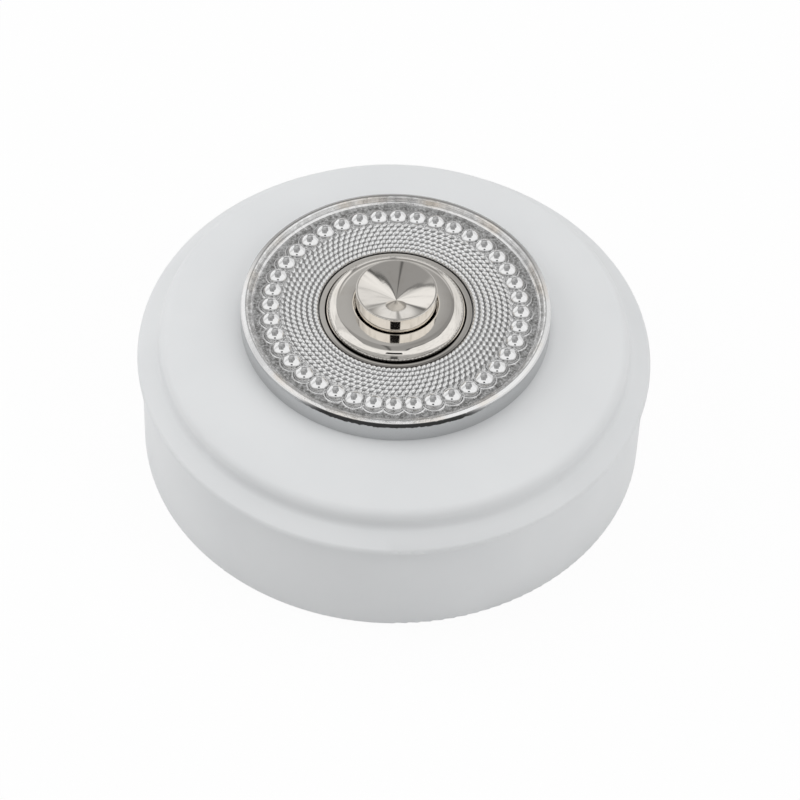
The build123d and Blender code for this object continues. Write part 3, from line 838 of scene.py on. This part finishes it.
@dataclass
class SwitchHead:
    """Turned head with flange, domed shoulder and flat face, on a threaded barrel; sizes in millimetres."""

    barrel_bottom_z: float
    face_z: float
    flange_r: float = 11.8
    flange_z: float = 28.3
    flange_round: float = 0.12
    seat_z: float = 26.9
    seat_round: float = 0.05
    shoulder_r: float = 10.8
    shoulder_round: float = 2.3
    groove_z: float = 27.7
    groove_width: float = 0.16
    groove_round: float = 0.04
    bore_r: float = 6.45
    bore_round: float = 0.38
    stop_z: float = 24.4
    recess_r: float = 5.35
    web_top_z: float = 21.4
    web_bottom_z: float = 19.9
    stem_bore_r: float = 2.08
    chamber_r: float = 7.4
    barrel_r: float = 9.4
    seal_z: float = 27.5
    seal_r: float = 10.5
    thread_pitch: float = 1.0
    thread_depth: float = 0.45
    thread_runout: float = 1.0
    thread_rows: int = 6
    round_steps: int = 24
    columns: int = 192

    def build(self) -> None:
        """Makes the head with its barrel."""
        settle(self.head(), Body.FIXED, NICKEL, Slot.NICKEL, "bezel_barrel")

    def head(self) -> bpy.types.Object:
        """Head, barrel and bores in one turning, with a helical thread cut in the barrel.

        Returns:
            The head.
        """
        top = outline([
            (self.seal_r, self.seal_z, 0.0),
            (self.seal_r, self.seat_z, 0.0),
            (self.flange_r, self.seat_z, self.seat_round),
            (self.flange_r, self.flange_z, self.flange_round),
            (self.shoulder_r + self.groove_width, self.flange_z, self.groove_round),
            (self.shoulder_r, self.groove_z, 0.0),
            (self.shoulder_r, self.face_z, self.shoulder_round),
            (self.bore_r, self.face_z, self.bore_round),
            (self.bore_r, self.stop_z, 0.0),
            (self.recess_r, self.stop_z, 0.0),
            (self.recess_r, self.web_top_z, 0.0),
            (self.stem_bore_r, self.web_top_z, 0.0),
            (self.stem_bore_r, self.web_bottom_z, 0.0),
            (self.chamber_r, self.web_bottom_z, 0.0),
            (self.chamber_r, self.barrel_bottom_z, 0.0),
        ], closed=False, steps=self.round_steps)
        rows = 1 + self.thread_rows * round(self.seal_z - self.barrel_bottom_z)
        levels = np.linspace(self.barrel_bottom_z, self.seal_z, rows)
        side = np.stack([np.full_like(levels, self.barrel_r), levels], 1)
        section = np.vstack([top, side])
        turn = angles(self.columns)
        radius, height = section[:, :1], section[:, 1:]
        wave = np.abs((height / self.thread_pitch - turn / FULL_TURN) % 1 - 0.5) * 2
        runout = np.minimum(height - self.barrel_bottom_z, self.seal_z - height) / self.thread_runout
        cut = self.thread_depth * wave * np.clip(runout, 0, 1)
        cut[:len(top)] = 0
        shell = Shell()
        shell.grid(polar(radius - cut, turn, height), wrap=True)
        return shell.piece("switch_head")


@dataclass
class PushButton:
    """Button cap with a funnel-shaped dish; sizes in millimetres."""

    cap_r: float
    bottom_z: float
    top_z: float
    land: float = 0.3
    land_round: float = 0.12
    rim_slope: float = 0.364
    middle_slope: float = 0.455
    dish_margin: float = 0.4
    dish_rows: int = 60
    skirt_round: float = 0.1
    recess_r: float = 5.05
    ceiling_z: float = 27.6
    socket_r: float = 2.0
    socket_z: float = 28.7
    axis_r: float = 0.02
    round_steps: int = 20
    columns: int = 256

    def build(self) -> None:
        """Makes the cap."""
        settle(self.cap(), Body.MOVING, NICKEL, Slot.NICKEL, "push_cap")

    def cap(self) -> bpy.types.Object:
        """The turned cap with dish, land, skirt and stem socket.

        Returns:
            The cap.
        """
        dish_r = self.cap_r - self.land
        funnel = self.funnel(dish_r)
        body = outline([
            (funnel[-1, 0], funnel[-1, 1], 0.0),
            (dish_r, self.top_z, self.land_round),
            (self.cap_r, self.top_z, self.land_round),
            (self.cap_r, self.bottom_z, self.skirt_round),
            (self.recess_r, self.bottom_z, 0.0),
            (self.recess_r, self.ceiling_z, 0.0),
            (self.socket_r, self.ceiling_z, 0.0),
            (self.socket_r, self.socket_z, 0.0),
            (self.axis_r, self.socket_z, 0.0),
        ], closed=False, steps=self.round_steps)
        section = np.vstack([funnel[:-1], body])
        shell = Shell()
        shell.lathe(section[::-1], self.columns, caps=True)
        return shell.piece("button_cap")

    def funnel(self, dish_r: float) -> np.ndarray:
        """Section of the dish, even at the rim and steeper towards the middle.

        Args:
            dish_r: Radius of the dish's rim.

        Returns:
            Radius and height rows from the middle outwards, up to just inside the rim.
        """
        reach = np.linspace(self.axis_r, dish_r - self.dish_margin, self.dish_rows)
        ease = (self.middle_slope - self.rim_slope) * (dish_r ** 2 - reach ** 2) / (2 * dish_r)
        return np.stack([reach, self.top_z - self.middle_slope * (dish_r - reach) + ease], 1)


@dataclass
class ReturnSpring:
    """Coil spring below the cap, which shortens with the press; sizes in millimetres."""

    coil_r: float = 3.6
    wire_r: float = 0.35
    turns: int = 4
    travel: float = 1.5
    seat_gap: float = 0.03
    turn_steps: int = 48
    wire_sides: int = 14

    def build(self) -> None:
        """Makes the coil between its two seats."""
        low, high = (corner[2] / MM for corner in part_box("return_spring"))
        coil = self.coil(low + self.seat_gap, high - self.seat_gap)
        settle(coil, Body.FIXED, STEEL, Slot.STEEL, "return_spring")
        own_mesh(coil)

    def coil(self, low: float, high: float) -> bpy.types.Object:
        """The wire, wound from the barrel's web up to the cap.

        Args:
            low: Height of the lower seat.
            high: Height of the upper seat.

        Returns:
            The coil.
        """
        share = np.linspace(0, 1, self.turns * self.turn_steps + 1)[:, None]
        turn = share * self.turns * FULL_TURN
        climb = high - low - 2 * self.wire_r
        pitch = climb / (self.turns * FULL_TURN * self.coil_r)
        outward = polar(1.0, turn, 0.0)
        along = polar(1.0, turn + math.pi / 2, pitch)
        upward = np.cross(along / np.linalg.norm(along[0, 0]), outward)
        middle = polar(self.coil_r, turn, low + self.wire_r + share * climb)
        side = angles(self.wire_sides)[None, :, None]
        shell = Shell()
        shell.grid(middle + self.wire_r * (np.cos(side) * outward + np.sin(side) * upward), caps=True)
        return shell.piece("spring_coil")


@dataclass
class Works:
    """Inner pieces that keep their solids."""

    steel: tuple[str, ...] = ("hex_nut", "lock_washer", "retaining_clip", "bridge_screw", "terminal_screws")
    brass: tuple[str, ...] = ("contact_bridge", "terminal_left", "terminal_right", "terminal_clamps")
    rubber: tuple[str, ...] = ("seal_ring", "cable_grommet", "rosette_gasket")
    moulded: tuple[str, ...] = ("switch_base", "plunger")

    def dress(self) -> None:
        """Gives each inner piece its finish."""
        groups = {STEEL: self.steel, BRASS: self.brass, RUBBER: self.rubber, MOULDING: self.moulded}
        for finish, nodes in groups.items():
            for node in nodes:
                dress_node(node, finish)


@dataclass
class Tent:
    """Dome of pale panels with dark seams, which only polished metal shows.

    A direction is written as its slopes across, to the right, and along, to the back, per unit of height.
    """

    dome_r: float = 0.95
    lowest: float = -2.0
    highest: float = 89.0
    rings: int = 31
    columns: int = 64
    least: float = 0.02
    right_start: float = 0.32
    right_lean: float = 0.72
    right_lean_span: Fade = (-0.12, 0.25)
    right_draw: float = 0.085
    right_draw_span: Fade = (0.25, 0.95)
    right_fade: Fade = (-0.04, 0.04)
    right_corner: float = 0.27
    left_start: float = 0.525
    left_lean: float = 0.33
    left_lean_span: Fade = (0.1, 0.6)
    left_fade: Fade = (-0.05, 0.05)
    left_corner: float = 0.32
    corner_fade: Fade = (-0.03, 0.05)
    front_fade: Fade = (-0.28, -0.50)
    front_slant: float = 0.45
    front_slant_from: float = 0.25
    back_fade: Fade = (3.0, 5.0)
    roof_grey: float = 0.33
    panel_grey: float = 0.96
    gable_middle: float = -0.05
    gable_slope: float = 0.5
    gable_fade: Fade = (0.18, 0.30)
    window_span: Fade = (0.95, 1.34)
    window_side: Fade = (0.36, 0.24)
    window_light: float = 0.28
    ridge_at: float = -0.072
    pole_slants: tuple[Fade, ...] = ((0.31, 0.05), (-0.31, 0.05), (-0.025, 0.03))
    pole_fade: Fade = (2.0, 3.0)
    opening_side: Fade = (0.27, 0.23)
    opening_span: Fade = (-1.07, -0.70)
    stand_side: Fade = (0.12, 0.07)
    stand_fade: Fade = (-1.5, -2.4)
    hem_level: Fade = (0.16, 0.10)
    hem_front: Fade = (0.3, 0.6)

    def build(self) -> None:
        """Makes the dome and hides it from all but glossy rays."""
        rise = np.radians(np.linspace(self.lowest, self.highest, self.rings))[:, None]
        shell = Shell()
        shell.grid(polar(np.cos(rise), angles(self.columns), np.sin(rise)) * self.dome_r / MM, caps=True)
        dome = shell.piece("tent")
        for ray in ("camera", "diffuse", "shadow", "transmission", "volume_scatter"):
            setattr(dome, f"visible_{ray}", False)
        material = bpy.data.materials.new("tent_panels")
        tree = ShaderTree(material)
        tree.surface(tree.node("ShaderNodeEmission", None, {"Color": self.panels(tree), "Strength": 1.0}))
        dome.data.materials.append(material)

    def panels(self, tree: ShaderTree) -> Value:
        """Brightness of the tent by direction.

        Args:
            tree: The tent's material.

        Returns:
            The panels' grey as a colour.
        """
        x, y, z = (part / self.dome_r for part in tree.axes())
        up = z.at_least(self.least)
        across, along = x / up, y / up
        right_edge, left_edge = self.right_edge(across, along), self.left_edge(across, along)
        right = right_edge.rise(*self.right_fade)
        right = right * (across - along * self.right_corner).rise(*self.corner_fade)
        left = left_edge.rise(*self.left_fade)
        left = left * (-across - along * self.left_corner).rise(*self.corner_fade)
        slant = (-across - self.front_slant_from).at_least(0) * self.front_slant
        front = (along - slant).rise(*self.front_fade)
        back = along.rise(*self.back_fade) * (1 - right) * (1 - left)
        roof = (1 - left) * (1 - right) * (1 - front) * (1 - back)
        gable = (along - abs(across - self.gable_middle) * self.gable_slope).rise(*self.gable_fade)
        turned = tree.vector(across.math("ARCTANGENT", across), along.math("ARCTANGENT", along), 0.0)
        folds = tree.noise(7, 3, 0.6, turned).rise(0.45, 0.75)
        panel = self.panel_grey - folds * 0.22 - left * along.within(0.1, 0.76, 0.12) * 0.22 - back * 0.12
        panel = panel - right * along.rise(0.5, 1.0) * 0.14 - front * along.rise(-1.05, -1.6) * 0.5
        grey = roof * self.roof(across, along, gable) + (1 - roof) * panel
        near = along.rise(1.2, 0.8) * (1 - front)
        seam_right = abs(right_edge).rise(0.05, 0.01) * near
        seam_left = abs(left_edge).rise(0.04, 0.01) * near
        ridge = abs(across - self.ridge_at).rise(0.045, 0.0) * (1 - front) * (1 - gable)
        shade = (1 - seam_right * 0.8) * (1 - seam_left * 0.65) * (1 - ridge * 0.65)
        level = grey * (shade * self.fittings((x, y, z), along))
        return tree.vector(level, level, level)

    def right_edge(self, across: Value, along: Value) -> Value:
        """How far a direction lies inside the right panel."""
        edge = across - self.right_start - along.held(*self.right_lean_span) * self.right_lean
        return edge + along.held(*self.right_draw_span) * self.right_draw

    def left_edge(self, across: Value, along: Value) -> Value:
        """How far a direction lies inside the left panel."""
        lean = along.held(*self.left_lean_span) - self.left_lean_span[0]
        return -across - self.left_start - lean * self.left_lean

    def roof(self, across: Value, along: Value, gable: Value) -> Value:
        """Grey of the roof between the panels, with its rear gable and a paler window behind."""
        grey = self.roof_grey + gable * (0.13 - across.rise(-0.05, 0.12) * 0.17) * along.rise(1.5, 1.05)
        return grey + self.window(across, along) * self.window_light

    def window(self, across: Value, along: Value) -> Value:
        """Mask of the paler window."""
        return along.within(*self.window_span, 0.03) * abs(across).rise(*self.window_side)

    def fittings(self, place: tuple[Value, Value, Value], along: Value) -> Value:
        """Shade of the dark fittings: poles behind, the front opening, the stand below it and the hem.

        Args:
            place: Place to the right, to the back and upwards, per radius.
            along: Slope to the back.

        Returns:
            1 where nothing darkens the tent.
        """
        x, y, z = place
        behind = x / y.at_least(self.least)
        poles = sum(abs(behind - slant).rise(width, width / 5) for slant, width in self.pole_slants)
        ahead = abs(x / (-y).at_least(self.least))
        front = (-y).rise(0.05, 0.1)
        opening = ahead.rise(*self.opening_side) * along.within(*self.opening_span, 0.03) * front
        stand = ahead.rise(*self.stand_side) * along.rise(*self.stand_fade) * front
        hem = z.rise(*self.hem_level) * (-y).rise(*self.hem_front)
        shade = (1 - poles * along.rise(*self.pole_fade) * 0.5) * (1 - opening * 0.99)
        return shade * (1 - stand * 0.8) * (1 - hem * 0.93)


@dataclass(frozen=True)
class Lamp:
    """Square soft lamp that metal doesn't mirror; sizes in metres, power in watts."""

    name: str
    place: tuple[float, float, float]
    size: float
    power: float
    aim_z: float = 0.02

    def build(self) -> None:
        """Hangs the lamp and aims it at the part."""
        light = bpy.data.lights.new(self.name, "AREA")
        light.shape = "SQUARE"
        light.size = self.size
        light.energy = self.power
        lamp = bpy.data.objects.new(self.name, light)
        lamp.location = self.place
        aim = Vector((0, 0, self.aim_z)) - Vector(self.place)
        lamp.rotation_euler = aim.to_track_quat("-Z", "Y").to_euler()
        lamp.visible_glossy = False
        bpy.context.scene.collection.objects.link(lamp)


@dataclass
class LongLens:
    """Camera in front of and above the part; angles in degrees, lengths in metres."""

    elevation: float = 49.264
    pitch: float = -0.536
    yaw: float = 0.120
    roll: float = 2.140
    distance: float = 0.56422
    aim_z: float = 0.015
    focal_px: float = 3600.0
    image_px: float = 800.0
    sensor_mm: float = 36.0
    nearest: float = 0.01

    def build(self) -> None:
        """Sets up the camera."""
        turns = (self.elevation, self.pitch, self.yaw, self.roll)
        rise, pitch, yaw, roll = (math.radians(turn) for turn in turns)
        right = Vector((1, 0, 0))
        ahead = Vector((0, math.cos(rise), -math.sin(rise)))
        above = right.cross(ahead)
        place = Vector((0, 0, self.aim_z)) - ahead * self.distance
        ahead = (ahead + math.tan(yaw) * right + math.tan(pitch) * above).normalized()
        right = ahead.cross(above).normalized()
        above = right.cross(ahead)
        rolled_right = math.cos(roll) * right + math.sin(roll) * above
        rolled_above = math.cos(roll) * above - math.sin(roll) * right
        turn = Matrix((rolled_right, rolled_above, -ahead)).transposed()
        lens = bpy.data.cameras.new("camera")
        lens.sensor_width = self.sensor_mm
        lens.lens = self.focal_px / self.image_px * self.sensor_mm
        lens.clip_start = self.nearest
        camera = bpy.data.objects.new("camera", lens)
        camera.matrix_world = Matrix.Translation(place) @ turn.to_4x4()
        bpy.context.scene.collection.objects.link(camera)
        bpy.context.scene.camera = camera


@dataclass
class Studio:
    """Pale floor, tent, soft lamps, white surroundings and the camera; lengths in metres."""

    floor_half: float = 3.0
    floor_drop: float = 0.0003
    paper: Colour = (0.92, 0.92, 0.92)
    white: Colour = (1.0, 1.0, 1.0)
    whiteness: float = 0.95
    ambient: float = 0.37
    lamps: tuple[Lamp, ...] = (
        Lamp("left", (-0.55, 0.05, 0.42), 0.5, 1.6),
        Lamp("right", (0.46, -0.18, 0.46), 0.5, 1.3),
        Lamp("above", (0.0, 0.25, 0.70), 0.6, 1.45),
    )

    def build(self) -> None:
        """Sets up everything round the part."""
        self.floor()
        Tent().build()
        for lamp in self.lamps:
            lamp.build()
        self.surroundings()
        LongLens().build()
        bpy.context.scene.view_settings.view_transform = "Standard"

    @staticmethod
    def seen(tree: ShaderTree) -> Value:
        """1 for rays that show the background: camera, glossy and transmission rays."""
        path = tree.node("ShaderNodeLightPath", output="Is Camera Ray")
        return path.at_least(path.other("Is Glossy Ray")).at_least(path.other("Is Transmission Ray"))

    def floor(self) -> None:
        """Lays the pale floor, which shows white and keeps the part's soft shadow."""
        half = self.floor_half
        mesh = bpy.data.meshes.new("floor")
        corners = [(-half, -half, 0), (half, -half, 0), (half, half, 0), (-half, half, 0)]
        mesh.from_pydata(corners, [], [(0, 1, 2, 3)])
        floor = bpy.data.objects.new("floor", mesh)
        floor.location.z = -self.floor_drop
        bpy.context.scene.collection.objects.link(floor)
        material = bpy.data.materials.new("floor_paper")
        tree = ShaderTree(material)
        matt = tree.node("ShaderNodeBsdfDiffuse", None, {"Color": (*self.paper, 1.0)})
        glow = tree.node("ShaderNodeEmission", None, {"Color": (*self.white, 1.0), "Strength": 1.0})
        share = self.seen(tree) * self.whiteness
        tree.surface(tree.node("ShaderNodeMixShader", None, {0: share, 1: matt, 2: glow}))
        mesh.materials.append(material)

    def surroundings(self) -> None:
        """Makes the world white, and dimmer for the light that it casts."""
        world = bpy.data.worlds.new("surroundings")
        bpy.context.scene.world = world
        tree = ShaderTree(world)
        seen = self.seen(tree)
        level = seen + (1 - seen) * self.ambient
        sky = tree.node("ShaderNodeBackground", None, {"Color": (*self.white, 1.0), "Strength": level})
        tree.surface(sky, "ShaderNodeOutputWorld")


def main() -> None:
    """Builds and dresses the part, then the studio round it."""
    logging.basicConfig(level=logging.INFO, format="%(name)s: %(message)s")
    PorcelainBody().dress()
    radius, low, _ = solid_size("rosette")
    Rosette(outer_r=radius, foot_z=low).build()
    _, low, high = solid_size("bezel_barrel")
    SwitchHead(barrel_bottom_z=low, face_z=high).build()
    radius, low, high = solid_size("push_cap")
    PushButton(cap_r=radius, bottom_z=low, top_z=high).build()
    ReturnSpring().build()
    Works().dress()
    Studio().build()


if __name__ == "__main__":
    main()
